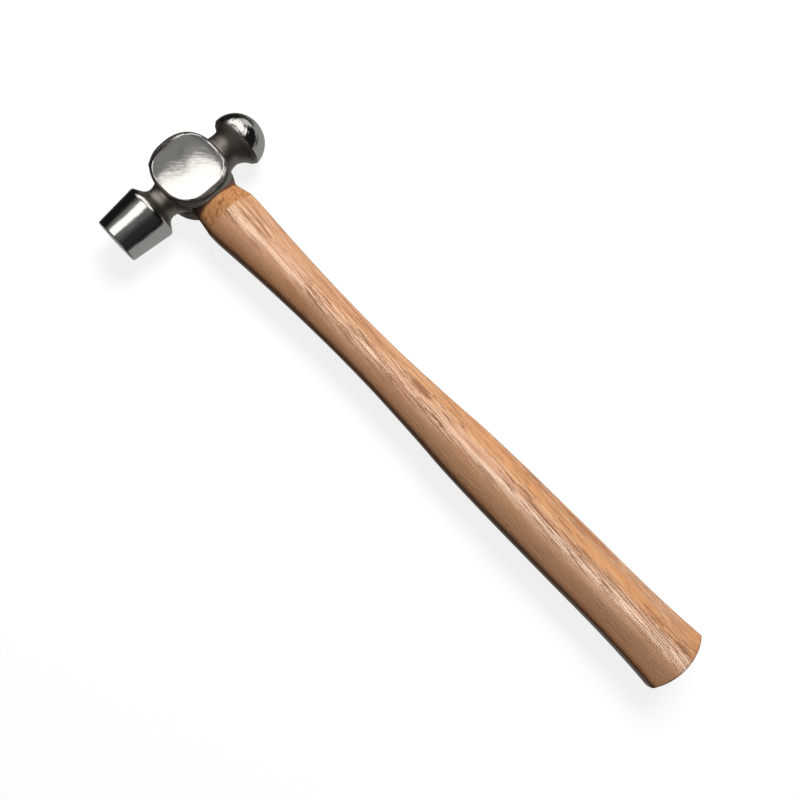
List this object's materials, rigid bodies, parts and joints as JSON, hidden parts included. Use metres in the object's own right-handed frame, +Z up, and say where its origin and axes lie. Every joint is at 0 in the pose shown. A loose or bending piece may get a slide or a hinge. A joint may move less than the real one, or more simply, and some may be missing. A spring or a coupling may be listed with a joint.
{
  "type": "ball peen hammer",
  "caption": "Ball peen hammer with a bright steel head, flat polished cheeks, and a waisted clear-varnished hickory handle wedged in the eye.",
  "frame": {"origin": "centre of the bounding box in X and Y, on the plane it lies on", "axes": "lying on its side: +X along the handle from the head to the butt, +Y from the striking face to the ball, +Z up through the polished cheek"},
  "size_m": [0.341, 0.09, 0.0278],
  "materials": {
    "head_steel": "forged and tumbled necks, ground and polished poll, ball and cheeks",
    "handle_wood": "clear varnished hickory, bare rough cut at the shoulder",
    "wedge_wood": "bare hardwood",
    "wedge_steel": "plain mild steel"
  },
  "bodies": {
    "root": {"hammer_head": "head_steel", "handle": "handle_wood", "wooden_wedge": "wedge_wood", "steel_wedge_front": "wedge_steel", "steel_wedge_rear": "wedge_steel"}
  },
  "joints": []
}
